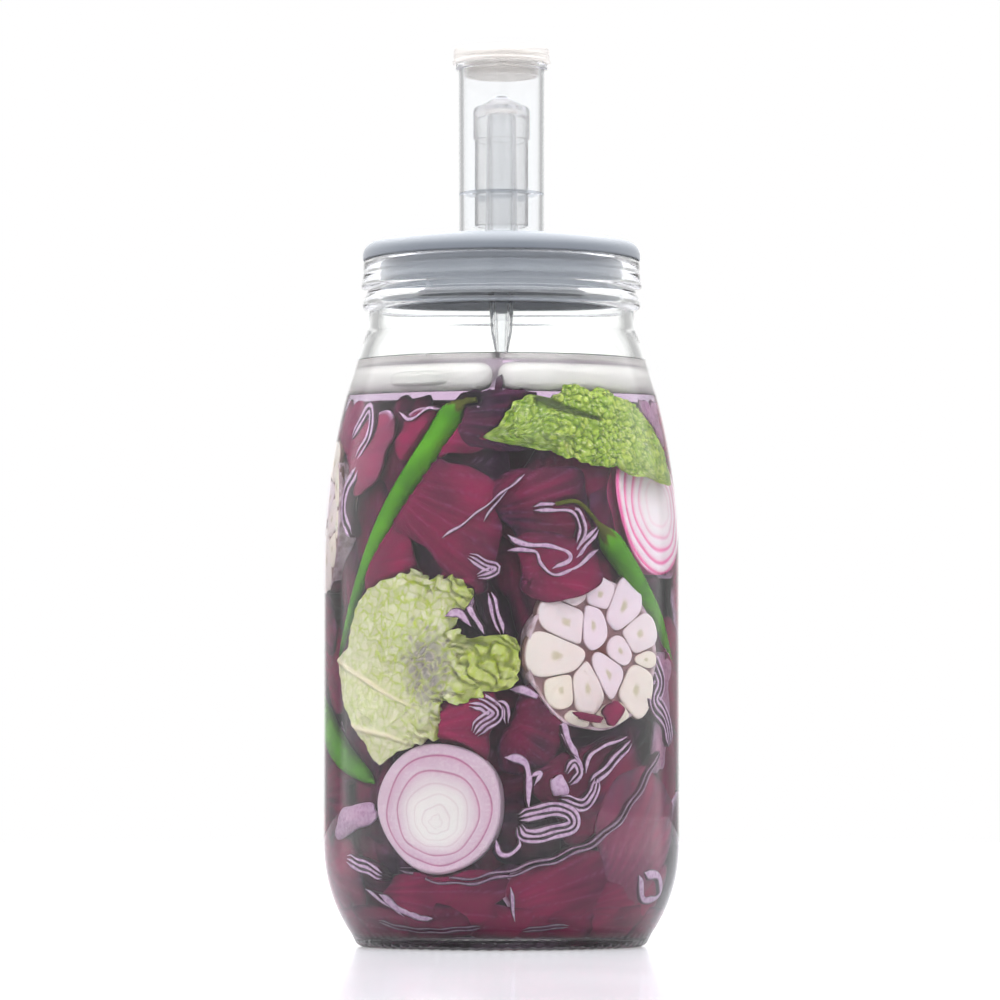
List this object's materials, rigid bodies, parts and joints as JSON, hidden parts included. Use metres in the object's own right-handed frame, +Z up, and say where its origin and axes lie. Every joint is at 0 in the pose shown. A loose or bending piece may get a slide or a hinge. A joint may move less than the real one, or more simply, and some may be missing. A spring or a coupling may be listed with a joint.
{
  "type": "fermentation jar",
  "caption": "Wide glass fermentation jar with a silicone plug lid, a water airlock and half-moon weights that hold red cabbage, onion, garlic, chillies and leaves down in brine.",
  "frame": {"origin": "centre of the jar's base, on the plane it stands on", "axes": "+Z up along the jar's axis, -Y towards the front that the picture shows"},
  "size_m": [0.14, 0.14, 0.3545],
  "materials": {
    "glass": "clear glossy glass",
    "silicone": "matte blue-grey silicone",
    "clear_plastic": "clear moulded plastic",
    "frosted_plastic": "slightly milky moulded plastic",
    "cap_plastic": "translucent white plastic",
    "water": "clear water",
    "ceramic": "white glaze",
    "onion": "cut onion, stained lilac by the cabbage",
    "garlic": "cut garlic, cream to pinkish white",
    "chilli": "smooth green skin",
    "green_leaf": "blistered green leaf with pale veins",
    "red_cabbage": "wet red cabbage with pale cut edges"
  },
  "bodies": {
    "root": {"jar": "glass", "lid": "silicone", "airlock_body": "clear_plastic", "airlock_dome": "frosted_plastic", "airlock_cap": "cap_plastic", "airlock_water": "water", "weight_left": "ceramic", "weight_right": "ceramic", "onion_front": "onion", "onion_side": "onion", "garlic_front": "garlic", "garlic_side": "garlic", "chilli_left": "chilli", "chilli_right": "chilli", "chilli_low": "chilli", "green_leaf_right": "green_leaf", "green_leaf_left": "green_leaf", "red_cabbage": "red_cabbage"}
  },
  "joints": []
}
